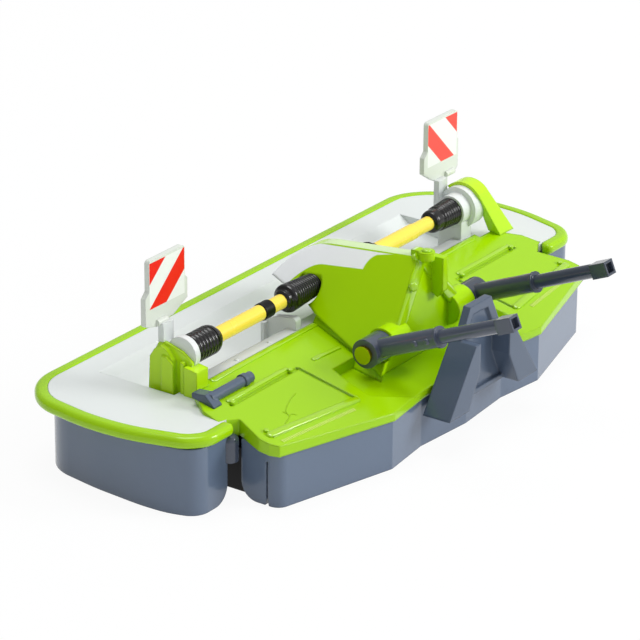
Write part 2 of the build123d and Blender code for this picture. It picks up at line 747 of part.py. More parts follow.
def make_board(row, form):
    left, bottom = row["board_x"], board_bottom
    right = left + board_width
    more_left, more_right = form["wider"]
    wide_left, wide_right = left - more_left, right + more_right
    low_height = board_low_top - board_bottom
    (left_cut_x, left_cut_share), (right_cut_x, right_cut_share) = form["cuts"]
    left_cut_z, right_cut_z = left_cut_share * low_height, right_cut_share * low_height
    tab_left, tab_right = (left + x for x in form["tab"])
    knuckle_left, knuckle_right = (left + x for x in form["knuckle"])
    points = [
        (left, board_top), (right, board_top), (right, board_low_top),
        (wide_right, board_low_top - more_right), (wide_right, bottom + right_cut_z),
        (wide_right - right_cut_x, bottom), (tab_right, bottom), (tab_right, bottom - tab_drop),
        (tab_left, bottom - tab_drop), (wide_left + left_cut_x, bottom), (wide_left, bottom + left_cut_z),
        (wide_left, board_low_top - more_left), (left, board_low_top),
    ]
    plate = prism_y(points, board_face_y, board_face_y + board_wall)
    top_corners = [e for e in plate.edges().filter_by(Axis.Y) if e.center().Z > board_top - board_round]
    plate = fillet(top_corners, board_round)
    return plate + rod_x(knuckle_left, knuckle_right, board_face_y, bottom, knuckle_radius)


def make_post(row):
    x0, x1 = (row["board_x"] + x for x in post_x)
    body = block(x0, x1, board_face_y - post_wall, board_face_y, post_bottom, board_bottom - post_top_gap)
    ends = [row["sign"] * row["ring_x"], row["sign"] * row["ring_end_x"]]
    web_x0, web_x1 = max(min(ends), x0), min(max(ends), x1)
    body = body + block(web_x0, web_x1, shaft_y, board_face_y - post_wall / 2, post_bottom, shaft_z + thick_radius)
    return body - on_side(ring_solid(row), row["sign"])


def make_lever():
    outer = -block_outer_x - lever_out
    foot = prism_x(lever_foot, outer, outer + lever_foot_width) - under(deck_z)
    start = outer + lever_foot_width / 2
    end = start + lever_length
    arm = rod_x(start, end - lever_tip, lever_y, lever_z, lever_radius)
    collar = rod_x(end - lever_tip - lever_collar, end - lever_tip, lever_y, lever_z, lever_collar_radius)
    tip = rod_x(end - lever_tip, end, lever_y, lever_z, lever_radius)
    return foot + ((arm + collar + tip) - under(deck_z))


def shaft_tube(x0, x1, radius):
    return rod_x(min(x0, x1), max(x0, x1), shaft_y, shaft_z, radius)


tray = make_tray()
pieces = {
    "deck": make_deck(),
    "bumper_rail": make_rail(),
    "front_tray": tray,
    "front_skirt": make_front_skirt(),
    "rear_skirt": make_rear_skirt(),
    "chassis": make_chassis(),
    "mower_bar": make_bar(),
    "hood": make_hood(),
    "hitch_frame": make_hitch(),
    "lever": make_lever(),
    "end_block_left": make_left_block(tray),
    "end_block_right": make_right_arch(),
    "shaft_thick_left": shaft_tube(-sides["left"]["bellow_x"], -collar_end, thick_radius),
    "shaft_collar": shaft_tube(-collar_end, -collar_start, collar_radius),
    "shaft_thin_left": shaft_tube(-collar_start, -sides["left"]["inner_bellow_x"], thin_left_radius),
    "shaft_thick_right": shaft_tube(sides["right"]["inner_bellow_x"], right_step_x, thick_radius),
    "shaft_thin_right": shaft_tube(right_step_x, sides["right"]["bellow_x"], thin_radius),
}
for word, row in sides.items():
    pieces["guard_ring_" + word] = on_side(ring_solid(row), row["sign"])
    pieces["outer_bellows_" + word] = make_bellow(row, True)
    pieces["inner_bellows_" + word] = make_bellow(row, False)
    pieces["board_post_" + word] = make_post(row) - pieces["end_block_" + word] - tray
    pieces["warning_board_" + word] = make_board(row, boards[word]) - pieces["board_post_" + word]
    pieces["hinge_pin_" + word] = make_pin(row["sign"])
    pieces["strut_" + word] = make_strut(row["sign"])
for number, x in enumerate(disc_places(), 1):
    pieces["disc_" + str(number)] = make_disc(x)

os.makedirs("parts", exist_ok=True)
for name, shape in pieces.items():
    export_step(Pos(0, -origin_y, 0) * shape, "parts/" + name + ".step")
print("pieces", len(pieces), "origin_y", round(origin_y, 4))
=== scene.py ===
import json
import math

import bpy
import numpy as np
from mathutils import Matrix, Vector


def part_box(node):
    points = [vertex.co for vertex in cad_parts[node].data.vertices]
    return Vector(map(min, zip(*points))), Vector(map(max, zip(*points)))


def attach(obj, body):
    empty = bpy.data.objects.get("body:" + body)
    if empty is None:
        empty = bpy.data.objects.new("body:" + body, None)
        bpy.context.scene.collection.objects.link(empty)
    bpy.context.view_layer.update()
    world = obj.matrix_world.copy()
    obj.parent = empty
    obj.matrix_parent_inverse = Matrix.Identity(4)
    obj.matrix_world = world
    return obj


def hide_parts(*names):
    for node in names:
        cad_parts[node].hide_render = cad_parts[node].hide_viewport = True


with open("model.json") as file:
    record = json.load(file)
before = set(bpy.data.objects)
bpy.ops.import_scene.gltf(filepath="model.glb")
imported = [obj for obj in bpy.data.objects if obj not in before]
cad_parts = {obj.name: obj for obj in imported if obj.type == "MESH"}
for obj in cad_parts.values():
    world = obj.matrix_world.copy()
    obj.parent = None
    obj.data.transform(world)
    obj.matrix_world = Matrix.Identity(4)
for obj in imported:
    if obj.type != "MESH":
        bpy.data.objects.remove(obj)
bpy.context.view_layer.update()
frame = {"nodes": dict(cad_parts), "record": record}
nodes = frame["nodes"]
mm = 0.001
print("frame loaded:", len(nodes), "nodes")


def middleOf(name):
    low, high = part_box(name)
    return (low + high) / 2


pinMiddle = (middleOf("hinge_pin_left") + middleOf("hinge_pin_right")) / 2
pinPlace = (3.1, 15.4)  # the pins' Y from the rear skirt and their height, mm


def places(x, y, z):
    # mm, with Y from the rear skirt and Z from the floor, turned to metres in the frame
    x, y, z = np.broadcast_arrays(x, y, z)
    return np.stack([x * mm, (y - pinPlace[0]) * mm + pinMiddle.y, z * mm], axis=-1)


camera = {
    "fromPins": (-447.66, -298.95, 230.94),  # its place from the middle between the pins, mm
    "yaw": -54.528,                          # degrees
    "pitch": 23.213,
    "roll": 0.372,
    "focalPixels": 3673.8,
    "pictureWidth": 640,
    "sensor": 36.0,
    "clip": (0.05, 20),                      # m
}


def makeCamera(spec):
    data = bpy.data.cameras.new("camera")
    data.sensor_width = spec["sensor"]
    data.lens = spec["sensor"] * spec["focalPixels"] / spec["pictureWidth"]
    data.clip_start, data.clip_end = spec["clip"]
    yaw, pitch, roll = (math.radians(spec[key]) for key in ("yaw", "pitch", "roll"))
    forward = Vector((-math.sin(yaw) * math.cos(pitch), math.cos(yaw) * math.cos(pitch),
                      -math.sin(pitch)))
    level = Vector((math.cos(yaw), math.sin(yaw), 0))
    rise = level.cross(forward)
    right = math.cos(roll) * level + math.sin(roll) * rise
    up = -math.sin(roll) * level + math.cos(roll) * rise
    turn = Matrix((right, up, -forward)).transposed().to_4x4()
    eye = bpy.data.objects.new("camera", data)
    bpy.context.scene.collection.objects.link(eye)
    eye.matrix_world = Matrix.Translation(pinMiddle + mm * Vector(spec["fromPins"])) @ turn
    bpy.context.scene.camera = eye


makeCamera(camera)
print("camera placed")


class Value:
    # a number socket; operators on it add Math nodes
    def __init__(self, tree, socket):
        self.tree, self.socket = tree, socket

    def math(self, operation, *others, clamp=False):
        made = addNode(self.tree, "Math", {"operation": operation, "use_clamp": clamp},
                       dict(enumerate((self,) + others)))
        return Value(self.tree, made.outputs[0])

    def __add__(self, other):
        return self.math("ADD", other)

    def __sub__(self, other):
        return self.math("SUBTRACT", other)

    def __rsub__(self, other):
        made = addNode(self.tree, "Math", {"operation": "SUBTRACT"}, {0: other, 1: self})
        return Value(self.tree, made.outputs[0])

    def __mul__(self, other):
        return self.math("MULTIPLY", other)

    def __truediv__(self, other):
        return self.math("DIVIDE", other)

    def __gt__(self, other):
        return self.math("GREATER_THAN", other)

    def __lt__(self, other):
        return self.math("LESS_THAN", other)

    __radd__ = __add__
    __rmul__ = __mul__

    def abs(self):
        return self.math("ABSOLUTE")

    def most(self, other):
        return self.math("MAXIMUM", other)

    def ramp(self, low, high):
        # 0 up to low, 1 from high on
        return ((self - low) / (high - low)).math("ADD", 0.0, clamp=True)


def feed(tree, socket, value):
    # a Value or a socket is linked, anything else is the socket's own setting
    value = value.socket if isinstance(value, Value) else value
    if isinstance(value, bpy.types.NodeSocket):
        tree.links.new(value, socket)
    else:
        socket.default_value = value


def addNode(tree, kind, settings, sockets):
    # settings go first, because they change which sockets a node has
    made = tree.nodes.new("ShaderNode" + kind)
    for name, value in settings.items():
        setattr(made, name, value)
    for key, value in sockets.items():
        feed(tree, made.inputs[key], value)
    return made


def axesOf(tree, vector):
    split = addNode(tree, "SeparateXYZ", {}, {0: vector})
    return [Value(tree, split.outputs[i]) for i in range(3)]


def eitherRay(tree, first, second):
    # 1 on rays of one of the two kinds, 0 on all others
    path = addNode(tree, "LightPath", {}, {})
    return Value(tree, path.outputs[first]).most(Value(tree, path.outputs[second]))


def colourOf(redWithPaintedLight, green, blue):
    # 0..255 as seen on a screen, turned to linear light
    parts = [c / 255 for c in (redWithPaintedLight, green, blue)]
    return tuple(c / 12.92 if c <= 0.04045 else ((c + 0.055) / 1.055) ** 2.4 for c in parts) + (1.0,)


socketOf = {"colour": "Base Color", "roughness": "Roughness", "metallic": "Metallic",
            "specular": "Specular IOR Level", "coat": "Coat Weight",
            "coatRoughness": "Coat Roughness", "normal": "Normal"}


class Material:
    def __init__(self, name):
        self.data = bpy.data.materials.new(name)
        self.data.use_nodes = True
        self.tree = self.data.node_tree
        self.shader = self.tree.nodes["Principled BSDF"]
        self.place = self.add("TexCoord", {}, {}).outputs["Object"]

    def add(self, kind, settings, sockets):
        return addNode(self.tree, kind, settings, sockets)

    def axes(self):
        return axesOf(self.tree, self.place)

    def facing(self):
        return axesOf(self.tree, self.add("NewGeometry", {}, {}).outputs["Normal"])

    def noise(self, scale, detail):
        made = self.add("TexNoise", {}, {"Vector": self.place, "Scale": scale, "Detail": detail})
        return Value(self.tree, made.outputs["Fac"])

    def mixed(self, first, second, share):
        # a Mix node's inputs 6 and 7 and its output 2 are those for colours
        made = self.add("Mix", {"data_type": "RGBA"}, {"Factor": share, 6: first, 7: second})
        return made.outputs[2]

    def set(self, **sockets):
        for name, value in sockets.items():
            feed(self.tree, self.shader.inputs[socketOf[name]], value)


# colour and shade run 0..255 and blend in a soft cloud; grain is the scale of the fine skin, bump its
# depth and edge the rounding of every edge, mm
finishes = {
    "green_paint": {
        "colour": (158, 207, 0), "shade": (152, 202, 0), "rough": 0.20, "specular": 0.30,
        "coat": 0.15, "grain": 900, "bump": 0.006, "edge": 0.30},
    "green_deck": {
        "colour": (158, 207, 0), "shade": (152, 202, 0), "rough": 0.20, "specular": 0.30,
        "coat": 0.12, "grain": 900, "bump": 0.006, "edge": 0.60},
    "green_hood": {
        "colour": (169, 218, 0), "shade": (163, 213, 0), "rough": 0.20, "specular": 0.10,
        "coat": 0.12, "grain": 900, "bump": 0.006, "edge": 0.60},
    # the next finish is the green paint made brighter, as painted light on the end blocks
    "green_block_painted_light": {
        "colour": (188, 232, 24), "shade": (182, 228, 18), "rough": 0.18, "specular": 0.30,
        "coat": 0.30, "grain": 900, "bump": 0.006, "edge": 0.40},
    # the next finish is the green paint made paler, as a painted highlight on the deck's fine ribs
    "green_ribs_painted_highlight": {
        "colour": (206, 233, 104), "shade": (200, 229, 96), "rough": 0.20, "specular": 0.30,
        "coat": 0.3, "grain": 900, "bump": 0.006, "edge": 0.05},
    "green_gloss": {
        "colour": (160, 208, 0), "shade": (154, 203, 0), "rough": 0.14, "specular": 0.50,
        "coat": 0.8, "grain": 900, "bump": 0.004, "edge": 0.05},
    "slate_plastic": {
        "colour": (98, 113, 135), "shade": (93, 108, 130), "rough": 0.22, "specular": 0.45,
        "coat": 0.25, "grain": 1500, "bump": 0.010, "edge": 0.40},
    "mid_slate": {
        "colour": (82, 95, 114), "shade": (77, 90, 109), "rough": 0.24, "specular": 0.4,
        "coat": 0.1, "grain": 1500, "bump": 0.010, "edge": 0.45},
    "dark_slate": {
        "colour": (70, 78, 95), "shade": (65, 73, 90), "rough": 0.20, "specular": 0.5,
        "coat": 0.4, "grain": 1500, "bump": 0.010, "edge": 0.35},
    # the next finish is darker than the left strut's, used on the right strut and its knobs: painted
    # shade
    "slate_painted_shade": {
        "colour": (54, 63, 77), "shade": (50, 59, 73), "rough": 0.20, "specular": 0.5,
        "coat": 0.4, "grain": 1500, "bump": 0.010, "edge": 0.35},
    "pale_plastic": {
        "colour": (222, 227, 226), "shade": (216, 221, 220), "rough": 0.34, "specular": 0.4,
        "coat": 0.0, "grain": 1200, "bump": 0.010, "edge": 0.25},
    "black_plastic": {
        "colour": (13, 13, 14), "shade": (9, 9, 10), "rough": 0.40, "specular": 0.2,
        "coat": 0.0, "grain": 1500, "bump": 0.020, "edge": 0.15},
    "black_rubber": {
        "colour": (12, 12, 13), "shade": (8, 8, 9), "rough": 0.22, "specular": 0.5,
        "coat": 0.1, "grain": 1800, "bump": 0.015, "edge": 0.06},
    "yellow_plastic": {
        "colour": (250, 224, 84), "shade": (246, 216, 70), "rough": 0.26, "specular": 0.45,
        "coat": 0.2, "grain": 1200, "bump": 0.008, "edge": 0.12},
    "brass_pin": {
        "colour": (196, 190, 40), "shade": (180, 172, 24), "rough": 0.24, "specular": 0.5,
        "coat": 0.0, "grain": 2500, "bump": 0.020, "edge": 0.10, "metal": 1.0},
    "board_white": {
        "colour": (222, 227, 219), "shade": (214, 220, 211), "rough": 0.32, "specular": 0.4,
        "coat": 0.0, "grain": 1200, "bump": 0.010, "edge": 0.20},
}
ownFinish = {
    # the end blocks take a brighter green: painted light
    "deck": "green_deck", "end_block_left": "green_block_painted_light", "end_block_right": "green_block_painted_light",
    "hitch_frame": "mid_slate", "lever": "mid_slate",
    # the right strut's finish is darker than the left one's: painted shade
    "strut_left": "dark_slate", "strut_right": "slate_painted_shade",
}
skin = {
    "edgeSamples": 6,
    "grainDetail": 2.0,
    "cloud": (60, 3.0),       # scale and detail of the colour's change
    "scuffs": (420, 4.0),     # scale and detail of the roughness's change
    "scuffDepth": 0.10,
    "coatRoughness": 0.08,
}


def softened(material, spec):
    # moulded plastic and lacquer: rounded edges, and a very fine uneven skin
    edge = material.add("Bevel", {"samples": skin["edgeSamples"]}, {"Radius": spec["edge"] * mm})
    grain = material.noise(spec["grain"], skin["grainDetail"])
    bump = material.add("Bump", {}, {"Strength": 1.0, "Distance": spec["bump"] * mm,
                                     "Height": grain, "Normal": edge.outputs[0]})
    return bump.outputs[0]


def makeFinish(name, spec):
    made = Material(name)
    cloud = made.noise(*skin["cloud"])
    scuffs = made.noise(*skin["scuffs"])
    made.set(
        colour=made.mixed(colourOf(*spec["colour"]), colourOf(*spec["shade"]), cloud),
        roughness=spec["rough"] + skin["scuffDepth"] * (scuffs - 0.5),
        metallic=spec.get("metal", 0.0),
        specular=spec["specular"],
        coat=spec["coat"],
        coatRoughness=skin["coatRoughness"],
        normal=softened(made, spec),
    )
    return made


finishOf = {name: makeFinish(name, spec) for name, spec in finishes.items()}


def fitPlaces(made):
    # the object's place in mm, with Y from the rear skirt and Z from the floor
    x, y, z = made.axes()
    return x * (1 / mm), (y - pinMiddle.y) * (1 / mm) + pinPlace[0], z * (1 / mm)


# the hood's sides carry a plain white band, and a painted sheen makes its narrow top paler than its
# sides; mm
bandAndSheen = {
    "white": (250, 253, 255),
    "sideways": 0.35,              # how much a face points left or right to carry the band
    "ridge": (3.5, 26.9, 0.1069),  # a (y, z) on the ridge, and its fall per mm forward
    "topGap": 0.2,
    "low": (12.43, 23.29, 0.128),  # a (y, z) on the band's lower edge, and its fall
    "noseStart": 20.1,             # from here on the lower edge bends down
    "noseBend": 0.111,
    "round": (9.3, 23.2, 3.15, 2.75),  # (y, z) and radii of the green round that ends it at the rear
    "tailRise": 0.24,              # of the white over the round, per mm backward
    "soft": 0.05,
    "paintedSheenShare": 0.45,              # of white in the painted sheen on the top
    "paintedSheenStart": (4.2, 4.4),        # it comes up between these y
    "paintedSheenDepth": (0.35, 0.15),      # and between these depths under the ridge
    "paintedSheenFacing": (0.90, 0.97),     # on faces that point up this much
}


def bandMask(made, spec):
    # over the lower edge, under the ridge, and in front of the round or over its tail, on faces
    # that point sideways. The round is where across ** 2 + up ** 2 is under 1, and up is never
    # counted under 0, so below its middle it runs straight down
    x, y, z = fitPlaces(made)
    soft = spec["soft"]
    sideways = made.facing()[0].abs() > spec["sideways"]
    startY, startZ, fall = spec["ridge"]
    ridge = startZ - (y - startY) * fall
    past = (y - spec["noseStart"]).most(0.0)
    lowY, lowZ, lowFall = spec["low"]
    low = lowZ - (y - lowY) * lowFall - past * past * spec["noseBend"]
    middleY, middleZ, radiusY, radiusZ = spec["round"]
    across, up = (y - middleY) / radiusY, (z - middleZ) / radiusZ
    outside = (across * across + up.most(0.0) * up.most(0.0) - 1).ramp(-soft, soft)
    front = (y - middleY).ramp(-soft, soft)
    tail = (z - (middleZ + radiusZ) - (middleY - y) * spec["tailRise"]).ramp(-soft, soft)
    over = (z - low).ramp(-soft, soft)
    below = (ridge - spec["topGap"] - z).ramp(-soft, soft)
    return over * below * (front * outside).most(tail) * sideways


def makeHoodFinish(spec):
    made = makeFinish("hood_green_band_and_painted_sheen", finishes["green_hood"])
    base = made.shader.inputs["Base Color"].links[0].from_socket
    x, y, z = fitPlaces(made)
    # a painted sheen: white mixed into the green on faces that point up just under the ridge
    startY, startZ, fall = spec["ridge"]
    deep, shallow = spec["paintedSheenDepth"]
    onSheenStrip = (z - startZ + (y - startY) * fall).ramp(-deep, -shallow) * y.ramp(*spec["paintedSheenStart"])
    paintedSheenShare = made.facing()[2].ramp(*spec["paintedSheenFacing"]) * onSheenStrip * spec["paintedSheenShare"]
    share = bandMask(made, spec).most(paintedSheenShare)
    made.set(colour=made.mixed(base, colourOf(*spec["white"]), share))
    return made


# red and white stripes across each board's rear face; s runs 0 to 1 from the board's outer edge to
# its inner one, t runs 0 to 1 from the field's top down, and the stripes change where
# lean * s + t passes each turn
stripes = {
    "white": (238, 241, 238),
    "fieldWidth": 8.7,     # mm, as the next three
    "fieldLeft": 1.1,      # from the board's widest left edge
    "fieldLow": 26.1,
    "fieldHigh": 33.7,
    "rearFacing": -0.7,
    "soft": 0.012,
    # the boards are one red; the left board's is deeper, as painted shade, and the right one's paler,
    # as painted light
    "left": {"redWithPaintedLight": (238, 22, 16), "lean": (1.04, 1.02), "turns": (0.48, 1.0, 1.52)},
    "right": {"redWithPaintedLight": (247, 70, 54), "lean": (1.15, 1.0), "turns": (0.476, 1.10, 1.62)},
}


def makeBoardFinish(side, spec):
    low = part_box("warning_board_" + side)[0]
    own = spec[side]
    made = makeFinish("board_stripes_" + side, finishes["board_white"])
    x, y, z = fitPlaces(made)
    s = (x - (low.x / mm + spec["fieldLeft"])) / spec["fieldWidth"]
    t = (spec["fieldHigh"] - z) / (spec["fieldHigh"] - spec["fieldLow"])
    rear = made.facing()[1] < spec["rearFacing"]
    field = (s > 0) * (s < 1) * (t > 0) * (t < 1) * rear
    if side == "right":
        s = 1 - s
    q = s * own["lean"][0] + t * own["lean"][1]
    soft = spec["soft"]
    first, second, third = own["turns"]
    outer = (first - q).ramp(-soft, soft)
    inner = (q - second).ramp(-soft, soft) * (third - q).ramp(-soft, soft)
    base = made.shader.inputs["Base Color"].links[0].from_socket
    sheet = made.mixed(colourOf(*spec["white"]), colourOf(*own["redWithPaintedLight"]), outer.most(inner))
    made.set(colour=made.mixed(base, sheet, field))
    return made


def wear(node, made):
    data = nodes[node].data
    data.materials.clear()
    data.materials.append(made.data)


for part in frame["record"]["subparts"]:
    wear(part["node"], finishOf[ownFinish.get(part["node"], part["material_slot"])])
wear("hood", makeHoodFinish(bandAndSheen))
for side in ("left", "right"):
    wear("warning_board_" + side, makeBoardFinish(side, stripes))
print("finishes on", len(nodes), "nodes")


def addPiece(name, points, faces, slotName, finish=None, body="frame", replaced=(), sharp=40):
    # points (..., 3) in metres, faces as lists of point numbers; edges over sharp degrees stay hard
    mesh = bpy.data.meshes.new(name)
    mesh.from_pydata(points.reshape(-1, 3).tolist(), [], faces)
    mesh.update()
    made = bpy.data.objects.new(name, mesh)
    bpy.context.scene.collection.objects.link(made)
    mesh.materials.append(finishOf[finish or slotName].data)
    mesh.shade_smooth()
    mesh.set_sharp_from_angle(angle=math.radians(sharp))
    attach(made, body)
    if replaced:
        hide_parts(*replaced)
    return made


def closedGrid(rings):
    # rings (rows, columns, 3): quads between neighbouring rings, and a fan at each end to a point at
    # its middle. Where the faces enclose a negative volume they point inward, and all are turned
    rows, columns = rings.shape[:2]
    row, column = np.meshgrid(np.arange(rows - 1), np.arange(columns), indexing="ij")
    beside = (column + 1) % columns
    quads = np.stack([row * columns + column, (row + 1) * columns + column,
                      (row + 1) * columns + beside, row * columns + beside], axis=-1).reshape(-1, 4)
    column, beside = column[0], beside[0]
    first, last = rows * columns, rows * columns + 1
    lastRow = (rows - 1) * columns
    start = np.stack([np.full(columns, first), column, beside], axis=-1)
    end = np.stack([np.full(columns, last), lastRow + beside, lastRow + column], axis=-1)
    points = np.concatenate([rings.reshape(-1, 3), rings[[0, -1]].mean(axis=1)])
    triangles = np.concatenate([quads[:, :3], quads[:, [0, 2, 3]], start, end])
    one, two, three = points[triangles.T]
    faces = quads.tolist() + start.tolist() + end.tolist()
    outward = (one * np.cross(two, three)).sum() > 0
    return points, faces if outward else [face[::-1] for face in faces]


endTurn = 0.97  # of a quarter circle, where a rounded end has its last ring


def carried(path, count, reach):
    # rings along an open path with rounded ends: each ring's middle, its direction, and its share of
    # the full width. At an end the share is cos, while the middle runs out by reach * sin
    along = np.gradient(path, axis=0)
    along /= np.linalg.norm(along, axis=1)[:, None]
    turns = np.linspace(np.pi / 2 * endTurn, 0, count)
    between, last = len(path) - 2, len(path) - 1
    share = np.concatenate([np.cos(turns), np.ones(between), np.cos(turns)[::-1]])
    push = np.concatenate([-np.sin(turns), np.zeros(between), np.sin(turns)[::-1]]) * reach
    pick = np.concatenate([np.zeros(count, int), np.arange(1, last), np.full(count, last)])
    return path[pick] + along[pick] * push[:, None], along[pick], share


# the bumper rail, round the tray; a bend is (in from the side, back from the front) at the front and
# (in from the side, forward from the rear end) at the rear, mm
rail = {
    "halfWidth": 56.7,
    "front": 42.4,
    "rearEnd": (11.3, 7.0),  # in from the side, and its Y
    "frontBends": ((7.2, 0.0), (1.6, 5.0), (0.0, 15.4)),
    "rearBends": ((0.4, 12.0), (3.1, 2.6), (6.3, 0.0)),
    "radii": (9.0, 9.0, 35.0, 30.0, 6.0, 5.0),
    "width": 2.1,
    "bottom": 11.05,
    "height": 2.0,
    "outerRound": 0.9,
    "innerRound": 0.35,
    "arcPoints": 14,
    "roundPoints": 7,
    "endPoints": 7,
}


def roundedPath(corners, radii, count):
    # each corner's arc touches both its sides: it starts r * tan(turn / 2) before the corner
    path = [corners[:1]]
    for before, corner, after, radius in zip(corners, corners[1:], corners[2:], radii):
        one, two = (p / np.linalg.norm(p) for p in (corner - before, after - corner))
        turn = np.arctan2(one[0] * two[1] - one[1] * two[0], one @ two)
        reach = radius * np.tan(abs(turn) / 2)
        side = np.array([-one[1], one[0]]) * np.sign(turn)
        angle = np.linspace(0, abs(turn), count)[:, None]
        arc = radius * (np.sin(angle) * one + (1 - np.cos(angle)) * side)
        path.append(corner - reach * one + arc)
    return np.concatenate(path + [corners[-1:]])


def roundedSection(spec):
    # anticlockwise from the outer top: across runs from 0 at the outer face to -width, up from the
    # bottom, and each corner is a quarter circle round its own middle
    quarter = np.linspace(0, np.pi / 2, spec["roundPoints"])
    wide, tall, outer, inner = (spec[k] for k in ("width", "height", "outerRound", "innerRound"))
    corners = ((-outer, tall - outer, outer), (inner - wide, tall - inner, inner),
               (inner - wide, inner, inner), (-outer, outer, outer))
    parts = []
    for k, (x, z, radius) in enumerate(corners):
        turns = quarter + k * np.pi / 2
        parts.append(np.stack([x + radius * np.cos(turns), z + radius * np.sin(turns)], axis=-1))
    return np.concatenate(parts)


def makeRail(spec):
    # the section is carried along the rounded path: a point is the path's place plus across times
    # the outward direction, at the height up
    wide = spec["halfWidth"]
    half = [(0.0, spec["front"])]
    half += [(wide - a, spec["front"] - b) for a, b in spec["frontBends"]]
    half += [(wide - a, spec["rearEnd"][1] + b) for a, b in spec["rearBends"]]
    half += [(wide - spec["rearEnd"][0], spec["rearEnd"][1])]
    right = roundedPath(np.array(half), spec["radii"], spec["arcPoints"])
    path = np.concatenate([right[::-1], right[1:] * (-1, 1)])
    line, along, share = carried(path, spec["endPoints"], spec["width"] / 2)
    outward = np.stack([along[:, 1], -along[:, 0]], axis=-1)
    section = roundedSection(spec)
    centre = np.array([-spec["width"] / 2, spec["height"] / 2])
    across = centre[0] + (section[:, 0] - centre[0]) * share[:, None]
    # the ends are drawn in less in height, by the root of the share, so they are blunt
    up = centre[1] + (section[:, 1] - centre[1]) * np.sqrt(share)[:, None]
    plan = line[:, None, :] + outward[:, None, :] * across[:, :, None]
    rings = places(plan[..., 0], plan[..., 1], spec["bottom"] + up)
    points, faces = closedGrid(rings[::-1])
    return addPiece("bumper_rail_smooth", points, faces, "green_paint", replaced=("bumper_rail",))


makeRail(rail)


# what turns round the drive shafts. A profile is (distance from the toy's middle, radius), mm; ribs
# are (from, to, how many, depth)
turned = {
    "axis": (21.25, 18.9),  # y and z
    "columns": 72,
    "step": 0.05,
    "soften": 0.10,         # the profile is softened by its mean over this much on either side
    "softenSamples": 9,
    "ribPower": 0.7,
    "sharp": 60,
    "pieces": {
        "outer_bellows_left": {
            "side": -1, "slot": "black_rubber", "ribs": (32.5, 38.0, 7, 0.16),
            "profile": ((30.6, 1.35), (30.75, 1.6), (31.2, 1.65), (31.45, 2.1), (31.9, 2.32),
                        (32.5, 2.42), (38.0, 2.42))},
        "outer_bellows_right": {
            "side": 1, "slot": "black_rubber", "ribs": (30.7, 35.0, 7, 0.15),
            "profile": ((28.4, 1.4), (28.7, 1.8), (29.2, 1.97), (30.3, 2.0), (30.45, 1.93),
                        (30.7, 2.15), (35.0, 2.38))},
        "inner_bellows_left": {
            "side": -1, "slot": "black_rubber", "ribs": (4.6, 11.2, 11, 0.16),
            "profile": ((4.6, 1.9), (11.2, 2.36), (11.9, 2.38), (12.3, 2.2), (12.45, 1.75),
                        (13.1, 1.7), (13.35, 1.35))},
        "inner_bellows_right": {
            "side": 1, "slot": "black_rubber", "ribs": (4.6, 11.0, 11, 0.16),
            "profile": ((4.6, 1.85), (10.6, 2.2), (11.2, 2.2), (11.6, 2.0), (11.8, 1.65),
                        (12.5, 1.6), (12.7, 1.35))},
        "shaft_thick_left": {
            "side": -1, "slot": "yellow_plastic",
            "profile": ((18.9, 1.22), (19.0, 1.3), (31.3, 1.3))},
        "shaft_collar": {
            "side": -1, "slot": "black_plastic",
            "profile": ((16.5, 1.25), (16.65, 1.45), (18.9, 1.45), (19.05, 1.3))},
        "shaft_thin_left": {
            "side": -1, "slot": "yellow_plastic", "profile": ((12.6, 1.22), (16.7, 1.22))},
        "shaft_thick_right": {
            "side": 1, "slot": "yellow_plastic",
            "profile": ((12.0, 1.36), (23.9, 1.36), (24.0, 1.25))},
        "shaft_thin_right": {
            "side": 1, "slot": "yellow_plastic", "profile": ((23.9, 1.22), (29.4, 1.22))},
    },
}


def makeTurned(name, spec, shared):
    # a point is (x, axis y + radius * cos, axis z + radius * sin). The radius is the softened profile
    # less depth * (1 - |sin| ** ribPower), where the sine goes through half a turn at each rib
    distances, radii = np.array(spec["profile"]).T
    x = np.arange(distances[0], distances[-1] + shared["step"] / 2, shared["step"])
    reach = np.linspace(-shared["soften"], shared["soften"], shared["softenSamples"])
    radius = np.interp(x[:, None] + reach, distances, radii).mean(axis=1)
    if "ribs" in spec:
        start, end, count, depth = spec["ribs"]
        wave = np.abs(np.sin(np.pi * count * (x - start) / (end - start)))
        groove = depth * (1 - wave ** shared["ribPower"])
        radius -= np.where((x >= start) & (x <= end), groove, 0)
    turn = np.linspace(0, 2 * np.pi, shared["columns"], endpoint=False)
    axisY, axisZ = shared["axis"]
    rings = places(spec["side"] * x[:, None], axisY + radius[:, None] * np.cos(turn),
                   axisZ + radius[:, None] * np.sin(turn))
    points, faces = closedGrid(rings if spec["side"] > 0 else rings[:, ::-1])
    return addPiece(name + "_turned", points, faces, spec["slot"], replaced=(name,),
                    sharp=shared["sharp"])


for name, spec in turned["pieces"].items():
    makeTurned(name, spec, turned)
print("rail, shafts and bellows made")


def joined(parts):
    # several (points, faces) as one
    starts = np.cumsum([0] + [len(points) for points, faces in parts[:-1]]).tolist()
    faces = [[i + start for i in face]
             for (points, faces), start in zip(parts, starts) for face in faces]
    return np.concatenate([points for points, faces in parts]), faces


def addParts(name, parts, slotName, finish=None, body="frame", sharp=50):
    # parts in millimetres
    points, faces = joined(parts)
    return addPiece(name, places(*points.T), faces, slotName, finish=finish, body=body, sharp=sharp)


def mirrored(parts):
    # the same parts on the other side of the middle, faces turned to keep pointing outward
    return [(points * (-1, 1, 1), [face[::-1] for face in faces]) for points, faces in parts]


# how finely the small mouldings are divided, and how square a bead's section is
fine = {"buttonColumns": 28, "beadColumns": 24, "roundPoints": 5, "squareness": 0.6}


